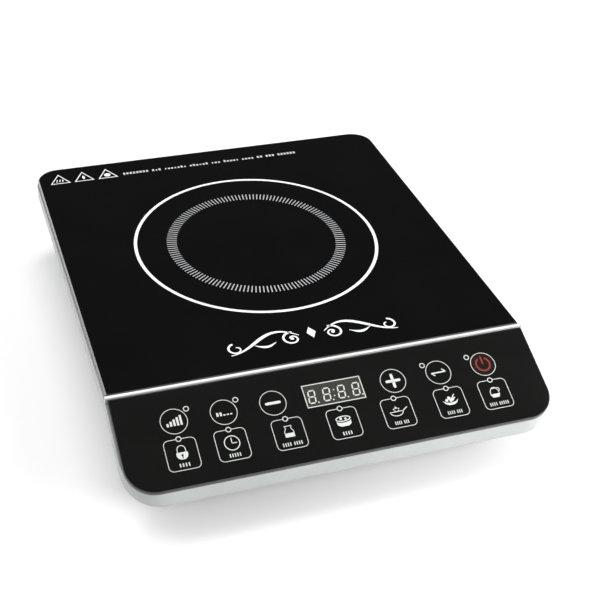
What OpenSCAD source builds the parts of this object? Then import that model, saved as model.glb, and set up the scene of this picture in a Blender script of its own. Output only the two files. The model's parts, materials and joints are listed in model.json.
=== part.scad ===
// Portable single-zone induction cooktop, built as an assembly of separate pieces.
// +Z is up, -Y is the front with the sloping control panel, millimetres throughout.
// The origin is on the surface the feet stand on, at the centre of the outline.

/* [Overall] */
// Width over the silver frame
body_w = 289; // [260:0.5:320]
// Height from the table to the top of the cooking glass
body_h = 63.5; // [55:0.5:75]
// Depth of the cooking glass side, from the bend to the rear of the frame
flat_d = 291.2; // [260:0.1:320]
// Length of the control panel, measured down its slope
panel_len = 68.7; // [55:0.1:80]
// Angle the control panel falls away at, in degrees
slope = 22.2; // [15:0.1:30]

/* [Cooking glass and panel] */
// Thickness of the cooking glass
glass_t = 4; // [3:0.5:6]
// Bevel round the cooking glass
glass_bevel = 0.8; // [0.3:0.1:1.5]
// Thickness of the control panel
panel_t = 3; // [2:0.5:4]
// Bevel round the control panel
panel_bevel = 0.6; // [0.3:0.1:1]
// Frame ledge left showing beside the glass
ledge = 0.9; // [0.4:0.1:2]
// Rear corner radius of the glass
rear_r = 17; // [8:0.5:30]
// Front corner radius of the control panel
front_r = 19.4; // [8:0.2:30]
// Width of the bright strip between glass and panel
strip_w = 3.1; // [2:0.1:6]
// Height of the strip above the glass and the panel
strip_proud = 0.1; // [0:0.05:0.2]

/* [Frame and tray] */
// Height of the silver band below the glass top
band_h = 15; // [10:0.5:25]
// Wall thickness of the frame
frame_wall = 2.2; // [1.5:0.1:3]
// Wall thickness of the tray
tray_wall = 2.2; // [1.5:0.1:3]
// Overhang of the control panel past the front wall
front_lip = 2; // [0:0.5:5]
// Height of the rubber feet
foot_h = 5; // [3:0.5:10]
// How far each tray wall leans out between floor and rim
tray_lean = 10; // [4:0.5:16]

/* [Coil] */
// Radius where the winding starts
coil_in = 24; // [18:1:40]
// Number of turns
coil_turns = 16; // [8:1:20]
// Distance from one turn to the next
coil_pitch = 4; // [3:0.1:6]
// Radius of the stranded wire
wire_r = 1.7; // [1:0.1:2]
// Centre of the cooking zone, front to back
zone_y = 33.5; // [20:0.5:50]

/* [Fan] */
// Fan centre, left to right
fan_x = -62; // [-80:1:-50]
// Fan centre, front to back
fan_y = 92; // [80:1:100]
// Radius swept by the blade tips
blade_r = 42.5; // [30:0.5:43]
// Number of blades
blades = 9; // [5:1:11]
// Blade pitch above the plane of rotation, in degrees
blade_pitch = 38; // [25:1:50]
// Radius of the fan shaft
shaft_r = 1.5; // [1:0.1:2]

/* [Hidden] */
$fn = 96;
face_z = body_h - strip_proud;
kink_y = -(flat_d - panel_len * cos(slope) + panel_bevel * sin(slope)) / 2;
rear_y = kink_y + flat_d;
wall_y = kink_y - panel_len * cos(slope) + front_lip;
glass_w = body_w - 2 * ledge;
gap = 0.35;
seal_t = 0.5;
plate_t = 2;
glass_z = face_z - glass_t;
plate_z = glass_z - seal_t;
edge0 = strip_w / 2 + gap;
panel_seat = panel_t + seal_t;
floor_z = foot_h + tray_wall;
rim_t = 2;
split = band_h * cos(slope);
rim_n = (band_h - rim_t) * cos(slope);
boss_y = [-88, 15, 155];
boss_x = 117;
boss_z = 29.8;
screw_r = 1.45;
foot_pos = [[-104, -126], [104, -126], [-100, 152], [100, 152]];
coil_z = 56;
carrier_z = coil_z - wire_r - 3;
post_a = [60, 180, 300];
post_r = 95;
lead_a = -30;
coil_out = coil_in + coil_turns * coil_pitch;
lead_z = 43.5;
term_r = 66;
board_z = 13;
board_t = 1.6;
deck = board_z + board_t;
board_x0 = -8;
board_x1 = 110;
board_y0 = -64;
board_y1 = 132;
board_fix = [[-3, -59], [105, -59], [-3, 127], [105, 127]];
fan_z = 10;
fan_h = 20;
fan_fix = 41.25;
hub_r = 15;
ctrl_n = 8.4;
ctrl_t = 1.6;
key_round = [-106.1, -74, -41.6, 41, 73.2, 106];
key_square = [-106.1, -74.2, -37, 0, 37, 74.2, 106.1];
row1_v = 24.3;
row2_v = 47;
led_v = 36.7;
led_high = [[-96.7, 17.3], [-64.6, 17.3], [64, 17.3], [96.3, 17.3]];
gland_x = -95;
gland_z = 30;
gland_y = 171.5;
cord_r = 3.6;

silver = [0.72, 0.74, 0.74];
black = [0.05, 0.05, 0.055];
dark = [0.12, 0.12, 0.13];
copper = [0.72, 0.42, 0.22];
steel = [0.62, 0.63, 0.65];
fr4 = [0.16, 0.34, 0.18];

// ---- shapes shared by several pieces ----

// Outline with its own radius for the front pair and the rear pair of corners.
module outline(w, y0, y1, rf, rr) {
    translate([-w / 2, y0 + rf]) square([w, y1 - rr - y0 - rf]);
    translate([-w / 2 + rf, y0]) square([w - 2 * rf, 2 * rf]);
    translate([-w / 2 + rr, y1 - 2 * rr]) square([w - 2 * rr, 2 * rr]);
    for (s = [-1, 1]) {
        translate([s * (w / 2 - rf), y0 + rf]) circle(rf);
        translate([s * (w / 2 - rr), y1 - rr]) circle(rr);
    }
}

// Shape drawn in Y and Z, run along X.
module along_x(half) {
    translate([-half, 0, 0]) rotate([90, 0, 90]) linear_extrude(2 * half) children();
}

// Bevelled layer on the same outline: planes along the sides, cones in the corners.
module bevel_layer(w, y0, y1, rf, rr, c) {
    difference() {
        intersection() {
            translate([0, y1, 0]) rotate([90, 0, 0]) linear_extrude(y1 - y0)
                polygon([[-w / 2, 0], [w / 2, 0], [w / 2 - c, c], [-w / 2 + c, c]]);
            along_x(w / 2) polygon([[y0, 0], [y1, 0], [y1 - c, c], [y0 + c, c]]);
        }
        for (s = [-1, 1]) {
            translate([s * (w / 2) - (s > 0 ? rf : 1), y0 - 1, -1]) cube([rf + 1, rf + 1, c + 2]);
            translate([s * (w / 2) - (s > 0 ? rr : 1), y1 - rr, -1]) cube([rr + 1, rr + 1, c + 2]);
        }
    }
    for (s = [-1, 1]) {
        translate([s * (w / 2 - rf), y0 + rf, 0]) cylinder(h = c, r1 = rf, r2 = rf - c);
        translate([s * (w / 2 - rr), y1 - rr, 0]) cylinder(h = c, r1 = rr, r2 = rr - c);
    }
}

// Flat plate with a bevelled upper edge.
module slab(w, y0, y1, rf, rr, t, c) {
    linear_extrude(t - c) outline(w, y0, y1, rf, rr);
    translate([0, 0, t - c]) bevel_layer(w, y0, y1, rf, rr, c);
}

// Frame of the control panel: local -Y runs down the slope, local -Z is its depth.
module sloped() {
    translate([0, kink_y, face_z]) rotate([slope, 0, 0]) children();
}

// A point at distance v down the slope and n below the panel's face, as [y, z].
function sl(v, n) = [kink_y - v * cos(slope) + n * sin(slope), face_z - v * sin(slope) - n * cos(slope)];

// Where the level at depth a meets the sloping level at depth b.
function bend_y(a, b) = kink_y - (a - b * cos(slope)) / tan(slope) + b * sin(slope);

// Solid between two bent levels: depths a below the glass, b below the panel's face.
module bent(a1, b1, a2, b2) {
    along_x(200) polygon([[200, face_z - a1], [bend_y(a1, b1), face_z - a1], sl(110, b1),
        sl(110, b2), [bend_y(a2, b2), face_z - a2], [200, face_z - a2]]);
}

// Upright solid on the frame's outline, moved in by i.
module frame_prism(i, z0, z1) {
    translate([0, 0, z0]) linear_extrude(z1 - z0)
        outline(body_w - 2 * i, wall_y + i, rear_y - i, 24 - i, rear_r + ledge - i);
}

// Screw with a flat pan head; its seat is at z = 0 and the shaft points down.
module pan_screw(r, head_r, head_h, len) {
    difference() {
        union() {
            translate([0, 0, -len]) cylinder(h = len, r = r);
            cylinder(h = head_h, r = head_r);
        }
        for (a = [0, 90]) rotate([0, 0, a])
            translate([-head_r * 0.55, -0.35, head_h - 0.9]) cube([head_r * 1.1, 0.7, 1]);
    }
}

// ---- outside ----

module top_glass() {
    color(black) translate([0, 0, glass_z])
        slab(glass_w, kink_y + edge0, rear_y - ledge, 1.2, rear_r, glass_t, glass_bevel);
}

module control_panel() {
    color(black) sloped() translate([0, 0, -panel_t])
        slab(glass_w, -panel_len, -edge0, front_r, 1.2, panel_t, panel_bevel);
}

// Keystone bar: its upper face follows the bend, its front face is square to the panel.
module divider_strip() {
    h = strip_w / 2;
    foot = (face_z - h * sin(slope) - plate_z) / cos(slope);
    color(silver) along_x(body_w / 2) polygon([[kink_y + h, plate_z], [kink_y + h, body_h - 0.3],
        [kink_y + h - 0.3, body_h], [kink_y - strip_proud * tan(slope / 2), body_h],
        sl(h - 0.3, -strip_proud), sl(h, 0.3 - strip_proud), sl(h, foot)]);
}

module upper_boss() {
    for (s = [-1, 1]) for (y = boss_y)
        translate([s * boss_x, y, boss_z + 0.2]) cylinder(h = plate_z - 1 - boss_z, r = 4);
}

module upper_housing() {
    color(silver) difference() {
        union() {
            difference() {
                intersection() {
                    frame_prism(0, 5, 70);
                    bent(glass_t + seal_t, panel_seat, band_h, split);
                }
                intersection() {
                    frame_prism(frame_wall, 0, 70);
                    bent(glass_t + seal_t + plate_t, panel_seat + plate_t, 60, 60);
                }
                // window over the coil
                translate([0, 0, 50]) linear_extrude(20) outline(212, -72, 144, 12, 12);
                // window over the control board
                sloped() translate([0, 0, -12]) linear_extrude(12) outline(244, -57, -12, 4, 4);
            }
            upper_boss();
            // stiffening rib under the bend
            translate([-125, kink_y + 4, 51]) cube([250, 2, plate_z - 52]);
            // seats for the control board
            sloped() for (s = [-1, 1]) for (v = [17, 52])
                translate([s * 127, -v, -ctrl_n]) cylinder(h = ctrl_n - panel_seat - 1, r = 2.8);
        }
        for (s = [-1, 1]) for (y = boss_y)
            translate([s * boss_x, y, boss_z]) cylinder(h = 14, r = 1.5);
        sloped() for (s = [-1, 1]) for (v = [17, 52])
            translate([s * 127, -v, -ctrl_n - 1]) cylinder(h = 3.6, r = 1.05);
    }
}

module glass_seal() {
    color(dark) translate([0, 0, plate_z]) linear_extrude(seal_t) difference() {
        outline(glass_w - 4, kink_y + edge0 + 2, rear_y - ledge - 2, 3, rear_r - 2);
        outline(glass_w - 14, kink_y + edge0 + 7, rear_y - ledge - 7, 3, rear_r - 7);
    }
}

module panel_seal() {
    color(dark) sloped() translate([0, 0, -panel_seat]) linear_extrude(seal_t) difference() {
        outline(282, -65.5, -4.5, 17, 2);
        outline(272, -60.5, -9.5, 12, 2);
    }
}

// Tray body between two levels, its walls moved in by i.
module tub(i, z0, z1) {
    k = tray_lean / 45.7;
    r0 = 14 - i + (z0 - foot_h) * k;
    r1 = 14 - i + (z1 - foot_h) * k;
    for (x = [-115, 115]) for (y = [-137, 149])
        translate([x, y, z0]) cylinder(h = z1 - z0, r1 = r0, r2 = r1);
    translate([0, 149, 0]) rotate([90, 0, 0]) linear_extrude(286)
        polygon([[-115 - r0, z0], [115 + r0, z0], [115 + r1, z1], [-115 - r1, z1]]);
    along_x(115) polygon([[-137 - r0, z0], [149 + r0, z0], [149 + r1, z1], [-137 - r1, z1]]);
}

module tray_posts() {
    // screw pillars
    for (s = [-1, 1]) for (y = boss_y)
        translate([s * boss_x, y, foot_h]) cylinder(h = boss_z - foot_h, r = 5.2);
    // pillars for the coil carrier
    for (a = post_a)
        translate([post_r * cos(a), zone_y + post_r * sin(a), foot_h + 1])
            cylinder(h = carrier_z - foot_h - 1, r1 = 6, r2 = 4.4);
    // board stand-offs
    for (p = board_fix) translate([p[0], p[1], foot_h + 1]) cylinder(h = board_z - foot_h - 1, r = 3.4);
    // fan stand-offs
    for (sx = [-1, 1]) for (sy = [-1, 1])
        translate([fan_x + sx * fan_fix, fan_y + sy * fan_fix, foot_h + 1])
            cylinder(h = fan_z - foot_h - 1, r = 3.6);
}

module tray_holes() {
    for (s = [-1, 1]) for (y = boss_y) translate([s * boss_x, y, 0]) {
        cylinder(h = 20, r = 3.6);
        cylinder(h = 40, r = 1.8);
    }
    for (a = post_a) translate([post_r * cos(a), zone_y + post_r * sin(a), carrier_z - 12])
        cylinder(h = 20, r = 1.5);
    for (p = board_fix) translate([p[0], p[1], foot_h + 2.4]) cylinder(h = 20, r = 1.3);
    for (sx = [-1, 1]) for (sy = [-1, 1])
        translate([fan_x + sx * fan_fix, fan_y + sy * fan_fix, foot_h + 0.8]) cylinder(h = 12, r = 1.3);
    for (p = foot_pos) translate([p[0], p[1], 0]) cylinder(h = 12, r = 3);
    // window for the inlet plate in the leaning rear wall
    translate([gland_x - 12.1, 156, gland_z - 12.1]) cube([24.2, 24, 24.2]);
    // air intake under the fan
    translate([fan_x, fan_y, 0]) difference() {
        intersection() {
            for (i = [-6:6]) translate([-45, i * 6.2 - 1.6, foot_h - 1]) cube([90, 3.2, 5]);
            translate([0, 0, foot_h - 2]) cylinder(h = 8, r = 40);
        }
        for (a = [0, 60, 120]) rotate([0, 0, a + 30]) translate([-50, -2, 0]) cube([100, 4, 20]);
        cylinder(h = 20, r = 10);
    }
    // second intake under the heatsink
    for (i = [0:9]) translate([14 + i * 8, 64, foot_h - 1]) cube([3, 40, 5]);
    // outlets in the rear wall and in both side walls
    for (i = [0:19]) translate([-30 + i * 6.8, 156, 13]) cube([3.2, 22, 26]);
    for (s = [-1, 1]) for (i = [0:15])
        translate([s * 132 - 12, 30 + i * 6.8, 14]) cube([24, 3.2, 25]);
    // shallow seat for a rating plate
    translate([-40, -110, foot_h - 1]) cube([80, 48, 1.4]);
}

module lower_housing() {
    color(dark) difference() {
        union() {
            difference() {
                union() {
                    intersection() {
                        tub(0, foot_h, 50.6);
                        bent(band_h - rim_t, rim_n, 90, 90);
                    }
                    intersection() {
                        frame_prism(frame_wall + 0.25, 5, 60);
                        bent(band_h - rim_t, rim_n, band_h, split);
                    }
                }
                tub(tray_wall, floor_z, 64);
            }
            tray_posts();
        }
        tray_holes();
    }
}

// Flat-faced plate that carries the cord gland square to the leaning rear wall.
module inlet_plate() {
    color(dark) difference() {
        union() {
            translate([gland_x - 12, 161, gland_z - 12]) cube([24, gland_y - 161, 24]);
            translate([gland_x - 14, 161, gland_z - 14]) cube([28, 2, 28]);
        }
        translate([gland_x, 150, gland_z]) rotate([-90, 0, 0]) cylinder(h = 40, r = 8);
    }
}

module rubber_feet() {
    color(black) for (p = foot_pos) translate([p[0], p[1], 0]) rotate_extrude()
        polygon([[0, 0], [7.4, 0], [8.2, 0.8], [9, foot_h], [2.9, foot_h], [2.9, floor_z],
            [3.9, floor_z], [2.6, floor_z + 2.2], [0, floor_z + 2.2]]);
}

module housing_screws() {
    color(steel) for (s = [-1, 1]) for (y = boss_y)
        translate([s * boss_x, y, 20]) rotate([180, 0, 0]) pan_screw(screw_r, 3.1, 2.2, 22);
}

module cord_gland() {
    color(black) translate([gland_x, 0, gland_z]) rotate([-90, 0, 0]) difference() {
        union() {
            // sleeve through the wall, inner nut, outer flange and nozzle
            translate([0, 0, 157]) cylinder(h = 18.4, r = 7.95);
            translate([0, 0, 157]) cylinder(h = 4, r = 10.4, $fn = 6);
            translate([0, 0, gland_y]) cylinder(h = 2, r = 10.5);
            translate([0, 0, gland_y]) cylinder(h = 5.6, r1 = 8.4, r2 = 6.6);
        }
        translate([0, 0, 150]) cylinder(h = 40, r = cord_r);
    }
}

// ---- coil ----

module at_zone() {
    translate([0, zone_y, 0]) children();
}

// Flat spiral from half turns about two centres, with both ends led down to the terminals.
module induction_coil() {
    color(copper) at_zone() rotate([0, 0, lead_a]) {
        for (k = [0:2 * coil_turns - 1])
            translate([(k % 2) * coil_pitch / 2, 0, coil_z]) rotate([0, 0, (k % 2) * 180])
                rotate_extrude(angle = 180)
                    translate([coil_in + k * coil_pitch / 2, 0]) circle(wire_r, $fn = 32);
        for (p = [[coil_in, lead_z, coil_z], [coil_out, deck + 8, coil_z], [term_r, deck + 8, lead_z]]) {
            translate([p[0], 0, p[1]]) cylinder(h = p[2] - p[1], r = wire_r, $fn = 32);
            translate([p[0], 0, p[2]]) sphere(wire_r, $fn = 32);
        }
        translate([coil_in, 0, lead_z]) sphere(wire_r, $fn = 32);
        translate([coil_in, 0, lead_z]) rotate([0, 90, 0])
            cylinder(h = term_r - coil_in, r = wire_r, $fn = 32);
    }
}

module coil_carrier() {
    color(dark) at_zone() difference() {
        translate([0, 0, carrier_z]) linear_extrude(3) difference() {
            union() {
                circle(21);
                for (r = [coil_in, coil_out]) rotate([0, 0, lead_a]) translate([r, 0]) circle(4.6);
                for (r = [44, 66, 92]) difference() {
                    circle(r);
                    circle(r - 6);
                }
                for (a = [0:15:345]) rotate([0, 0, a + lead_a]) translate([15, -2.6]) square([72.5, 5.2]);
                for (a = post_a) rotate([0, 0, a]) {
                    translate([86, -7]) square([post_r - 86, 14]);
                    translate([post_r, 0]) circle(7);
                }
            }
            circle(9);
        }
        for (a = post_a) rotate([0, 0, a]) translate([post_r, 0, carrier_z - 1]) cylinder(h = 6, r = 1.8);
        rotate([0, 0, lead_a]) for (r = [coil_in, coil_out]) translate([r, 0, carrier_z - 1])
            cylinder(h = 6, r = wire_r + 0.4);
    }
}

module ferrite_bars() {
    color([0.2, 0.2, 0.22]) at_zone() for (a = [22.5:45:337.5]) rotate([0, 0, a + lead_a])
        translate([27, -7, carrier_z - 5]) cube([54, 14, 5]);
}

module mica_sheet() {
    color([0.78, 0.74, 0.62]) at_zone() translate([0, 0, coil_z + wire_r + 0.1]) linear_extrude(0.5)
        difference() {
            circle(90);
            circle(13);
        }
}

module sensor_holder() {
    color([0.85, 0.85, 0.82]) at_zone() difference() {
        rotate_extrude() polygon([[0, carrier_z - 2], [10.6, carrier_z - 2], [10.6, carrier_z],
            [8.8, carrier_z], [8.8, carrier_z + 3], [11.2, carrier_z + 3], [10.2, glass_z - 0.8],
            [0, glass_z - 0.8]]);
        translate([0, 0, glass_z - 2.4]) cylinder(h = 4, r = 5);
        translate([0, 0, carrier_z - 4]) cylinder(h = 14, r = 1.6);
    }
}

module temp_sensor() {
    color(silver) at_zone() translate([0, 0, glass_z - 2.4]) {
        cylinder(h = 2.4, r = 4.9);
    }
}

module coil_screws() {
    color(steel) at_zone() for (a = post_a) rotate([0, 0, a])
        translate([post_r, 0, carrier_z + 3]) pan_screw(screw_r, 3.4, 2.2, 13);
}

// ---- power board ----

module main_board() {
    color(fr4) translate([0, 0, board_z]) linear_extrude(board_t) difference() {
        translate([board_x0, board_y0]) square([board_x1 - board_x0, board_y1 - board_y0]);
        for (p = board_fix) translate(p) circle(1.7);
        for (a = [60, 300]) translate([post_r * cos(a), zone_y + post_r * sin(a)]) circle(7);
    }
}

module board_screws() {
    color(steel) for (p = board_fix) translate([p[0], p[1], deck]) pan_screw(1.25, 2.8, 1.8, 6.6);
}

module heatsink() {
    color([0.7, 0.71, 0.73]) translate([0, 0, deck]) {
        translate([0, 52, 0]) cube([46, 4, 24]);
        translate([0, 52, 0]) cube([46, 54, 3.6]);
        for (i = [0:8]) translate([0, 60 + i * 5.5, 0]) cube([46, 1.6, 24]);
    }
}

// Transistor case standing against the heatsink on its own legs.
module igbt() {
    color(black) translate([4, 0, deck]) {
        difference() {
            translate([0, 46.9, 2.4]) cube([16, 4.9, 20]);
            translate([8, 40, 18]) rotate([-90, 0, 0]) cylinder(h = 20, r = 1.8);
        }
        for (i = [0:2]) translate([1.9 + i * 5.45, 48.8, 0]) cube([1.3, 0.8, 3]);
    }
}

module bridge_rectifier() {
    color(black) translate([24, 0, deck]) {
        difference() {
            translate([0, 47.2, 2.4]) cube([21, 4.6, 17]);
            translate([10.5, 40, 15.6]) rotate([-90, 0, 0]) cylinder(h = 20, r = 1.7);
        }
        for (i = [0:3]) translate([1.6 + i * 5.6, 49, 0]) cube([1, 0.8, 3]);
    }
}

module resonant_capacitor() {
    color([0.2, 0.32, 0.6]) translate([56, 62, deck]) cube([42, 20, 21]);
}

module filter_capacitor() {
    color([0.75, 0.55, 0.2]) translate([56, 86, deck]) cube([42, 21, 22]);
}

module suppression_capacitor() {
    color([0.75, 0.7, 0.3]) translate([60, 111, deck]) cube([26, 12, 17]);
}

module electrolytic_capacitors() {
    color([0.12, 0.14, 0.3]) for (p = [[26, -4, 5, 17], [38.5, -4, 5, 17], [10, -14, 4, 12]])
        translate([p[0], p[1], deck]) difference() {
            rotate_extrude() polygon([[0, 0], [p[2], 0], [p[2], 1.6], [p[2] - 0.4, 2],
                [p[2], 2.4], [p[2], p[3]], [0, p[3]]]);
            for (a = [0, 90]) rotate([0, 0, a]) translate([-p[2] * 0.6, -0.2, p[3] - 0.3])
                cube([p[2] * 1.2, 0.4, 1]);
        }
}

module at_choke() {
    translate([20, 26, deck]) children();
}

module choke_core() {
    color([0.75, 0.7, 0.2]) at_choke() translate([0, 0, 2]) difference() {
        cylinder(h = 10, r = 12);
        translate([0, 0, -1]) cylinder(h = 12, r = 7);
    }
}

// Wire loops round the ring, each a closed rectangle clear of the core.
module choke_winding() {
    color(copper) at_choke() for (a = [0:24:336]) rotate([0, 0, a])
        translate([5.6, -0.6, 0.6]) difference() {
            cube([7.8, 1.2, 12.8]);
            translate([1.2, -1, 1.2]) cube([5.4, 4, 10.4]);
        }
}

module at_transformer() {
    translate([74, 34, deck]) children();
}

module transformer_core() {
    color([0.2, 0.2, 0.22]) at_transformer() difference() {
        translate([-10, -4, 0.4]) cube([20, 8, 16]);
        for (s = [-1, 1]) translate([s * 5 - 2.4, -5, 3.4]) cube([4.8, 10, 10]);
    }
}

module transformer_winding() {
    color([0.8, 0.68, 0.2]) at_transformer() difference() {
        translate([-7.3, -8, 3.6]) cube([14.6, 16, 9.6]);
        translate([-2.7, -4.1, 3]) cube([5.4, 8.2, 12]);
        for (s = [-1, 1]) translate([s * 10 - 2.8, -4.1, 3]) cube([5.6, 8.2, 12]);
    }
}

module line_fuse() {
    color([0.86, 0.84, 0.78]) translate([6, 116, deck]) {
        translate([0, 0, 4.2]) rotate([0, 90, 0]) cylinder(h = 20, r = 2.6);
        for (x = [0.5, 14.5]) translate([x, -3.2, 0]) difference() {
            cube([5, 6.4, 7.4]);
            translate([-1, 1, 5.4]) cube([7, 4.4, 4]);
        }
    }
}

// Brass posts that take the two ends of the winding.
module coil_terminals() {
    color([0.8, 0.62, 0.25]) at_zone() rotate([0, 0, lead_a]) for (r = [term_r, coil_out])
        translate([r, 0, deck]) difference() {
            cylinder(h = 9, r = 4, $fn = 6);
            translate([0, 0, 8 - 0.2]) cylinder(h = 4, r = wire_r + 0.1);
        }
}

module board_connectors() {
    color([0.9, 0.89, 0.84]) for (p = [[18, -58, 22, 6], [-6, 40, 8, 6], [60, -58, 10, 6]])
        translate([p[0], p[1], deck]) difference() {
            cube([p[2], p[3], 7]);
            translate([1, 1, 2]) cube([p[2] - 2, p[3] - 2, 8]);
        }
}

module board_chips() {
    color(black) for (p = [[40, -38, 10, 18], [64, -44, 5, 6.5], [80, -44, 5, 6.5]])
        translate([p[0], p[1], deck]) {
            translate([0, 0, 0.4]) cube([p[2], p[3], 2.2]);
            for (s = [0, 1]) for (i = [0:1.27 * 2:p[3] - 1])
                translate([s > 0 ? p[2] - 0.2 : -1, i + 0.4, 0]) cube([1.2, 0.5, 1]);
        }
}

module buzzer() {
    color(black) translate([96, -34, deck]) difference() {
        cylinder(h = 8, r = 6);
        translate([0, 0, 5]) cylinder(h = 5, r = 1);
        translate([0, 0, 7.4]) difference() {
            cylinder(h = 2, r = 5);
            cylinder(h = 2, r = 4);
        }
    }
}

// ---- fan ----

module at_fan() {
    translate([fan_x, fan_y, 0]) children();
}

module fan_frame() {
    color(dark) at_fan() difference() {
        union() {
            difference() {
                union() {
                    translate([0, 0, fan_z]) linear_extrude(3) outline(92, -46, 46, 5, 5);
                    translate([0, 0, fan_z]) cylinder(h = fan_h, r = 45.8);
                }
                translate([0, 0, fan_z - 1]) cylinder(h = fan_h + 2, r = blade_r + 1.3);
            }
            // spokes, motor plate and bearing tube
            for (a = [20:90:290]) rotate([0, 0, a])
                translate([12, -1.6, fan_z]) cube([blade_r - 9.5, 3.2, 2.6]);
            translate([0, 0, fan_z]) cylinder(h = 2.6, r = 14);
            translate([0, 0, fan_z]) cylinder(h = 13.6, r = 4.2);
        }
        translate([0, 0, fan_z + 1.8]) cylinder(h = 20, r = 3);
        for (sx = [-1, 1]) for (sy = [-1, 1])
            translate([sx * fan_fix, sy * fan_fix, fan_z - 1]) cylinder(h = 6, r = 1.7);
    }
}

module fan_bearing() {
    color([0.76, 0.6, 0.3]) at_fan() translate([0, 0, fan_z + 1.8]) difference() {
        cylinder(h = 11, r = 3);
        translate([0, 0, -1]) cylinder(h = 20, r = shaft_r + 0.03);
    }
}

// Four wound poles on a laminated core.
module fan_stator() {
    color(copper) at_fan() translate([0, 0, fan_z + 4.2]) difference() {
        union() {
            cylinder(h = 7, r = 6);
            for (a = [0:90:270]) rotate([0, 0, a]) {
                translate([4, -2.4, 0]) cube([5.4, 4.8, 7]);
                intersection() {
                    translate([8.6, -6, 1.6]) cube([3, 12, 3.8]);
                    cylinder(h = 7, r = 11);
                }
            }
        }
        translate([0, 0, -1]) cylinder(h = 10, r = 4.2);
    }
}

module fan_rotor() {
    z0 = fan_z + 4;
    color(black) at_fan() {
        difference() {
            translate([0, 0, z0]) cylinder(h = 14, r = hub_r);
            translate([0, 0, z0 - 1]) cylinder(h = 13, r = 13.2);
        }
        translate([0, 0, z0 + 10.5]) cylinder(h = 2.5, r = 3.2);
        translate([0, 0, fan_z + 2.4]) cylinder(h = 22, r = shaft_r);
        for (i = [0:blades - 1]) rotate([0, 0, i * 360 / blades]) intersection() {
            translate([0, 0, z0 + 7]) rotate([blade_pitch, 0, 0])
                translate([hub_r - 1, -14, -0.8]) cube([blade_r, 28, 1.6]);
            translate([0, 0, z0 + 0.8]) difference() {
                cylinder(h = 12.4, r = blade_r);
                translate([0, 0, -1]) cylinder(h = 20, r = hub_r - 0.6);
            }
        }
    }
}

module fan_magnet() {
    color([0.25, 0.25, 0.27]) at_fan() translate([0, 0, fan_z + 4.4]) difference() {
        cylinder(h = 9, r = 13.2);
        translate([0, 0, -1]) cylinder(h = 12, r = 11.6);
    }
}

module fan_screws() {
    color(steel) at_fan() for (sx = [-1, 1]) for (sy = [-1, 1])
        translate([sx * fan_fix, sy * fan_fix, fan_z + 3]) pan_screw(1.25, 2.6, 1.8, 6.8);
}

// ---- controls under the sloping panel ----

module control_board() {
    color(fr4) sloped() translate([0, 0, -ctrl_n - ctrl_t]) linear_extrude(ctrl_t) difference() {
        outline(262, -60, -9, 2, 2);
        for (s = [-1, 1]) for (v = [17, 52]) translate([s * 127, -v]) circle(1.4);
    }
}

module control_screws() {
    color(steel) sloped() for (s = [-1, 1]) for (v = [17, 52])
        translate([s * 127, -v, -ctrl_n - ctrl_t]) rotate([180, 0, 0]) pan_screw(1, 2.2, 1.3, 4);
}

// Four-digit display: the digits are cut as shallow seats in its face.
module led_display() {
    color([0.1, 0.1, 0.09]) sloped() translate([0, -24.4, -ctrl_n]) difference() {
        translate([-19.6, -7.9, 0]) cube([39.2, 15.8, ctrl_n - panel_t - 0.2]);
        for (i = [-1.5:1:1.5]) translate([i * 9, 0, ctrl_n - panel_t - 0.5]) rotate([0, 0, -6]) {
            for (y = [-5, 0, 5]) translate([-2, y - 0.4, 0]) cube([4, 0.8, 1]);
            for (sx = [-1, 1]) for (sy = [-1, 1]) translate([sx * 2.7 - 0.4, sy * 2.5 - 2, 0])
                cube([0.8, 4, 1]);
        }
    }
}

module indicator_leds() {
    color([0.85, 0.86, 0.82]) sloped() {
        for (x = key_square) translate([x, -led_v, -ctrl_n]) cylinder(h = 4.8, r = 1.5);
        for (p = led_high) translate([p[0], -p[1], -ctrl_n]) cylinder(h = 4.8, r = 1.5);
    }
}

// Contact spring: wire rings on a wire post, with a pad pressed to the panel.
module touch_spring() {
    h = ctrl_n - panel_t;
    for (i = [0:3]) translate([0, 0, 0.4 + i * 1.2]) rotate_extrude()
        translate([4.2 - i * 0.25, 0]) circle(0.35, $fn = 24);
    for (s = [-1, 1]) translate([s * 3.8 - 0.5, -0.3, 0]) cube([1, 0.6, h - 0.6]);
    translate([0, 0, h - 0.7]) cylinder(h = 0.7, r = 5);
}

module touch_springs() {
    color(steel) sloped() {
        for (x = key_round) translate([x, -row1_v - 0.4, -ctrl_n]) touch_spring();
        for (x = key_square) translate([x, -row2_v - 0.4, -ctrl_n]) touch_spring();
    }
}

// Flat cable from the control board down to its header on the power board.
module ribbon_cable() {
    p = sl(28, ctrl_n + ctrl_t);
    color([0.8, 0.8, 0.78]) translate([29, 0, 0]) along_x(8) polygon([[p[0], p[1]], [p[0], 32],
        [-84, 26], [-55.4, 26], [-55.4, deck + 3], [-54.6, deck + 3], [-54.6, 26.8], [-84.2, 26.8],
        [p[0] + 0.8, 32.4], [p[0] + 0.8, sl(28 - 0.8 / cos(slope), ctrl_n + ctrl_t)[1]]]);
}

top_glass();
control_panel();
divider_strip();
upper_housing();
glass_seal();
panel_seal();
lower_housing();
inlet_plate();
rubber_feet();
housing_screws();
cord_gland();
induction_coil();
coil_carrier();
ferrite_bars();
mica_sheet();
sensor_holder();
temp_sensor();
coil_screws();
main_board();
board_screws();
heatsink();
igbt();
bridge_rectifier();
resonant_capacitor();
filter_capacitor();
suppression_capacitor();
electrolytic_capacitors();
choke_core();
choke_winding();
transformer_core();
transformer_winding();
line_fuse();
coil_terminals();
board_connectors();
board_chips();
buzzer();
fan_frame();
fan_bearing();
fan_stator();
fan_rotor();
fan_magnet();
fan_screws();
control_board();
control_screws();
led_display();
indicator_leds();
touch_springs();
ribbon_cable();
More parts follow.
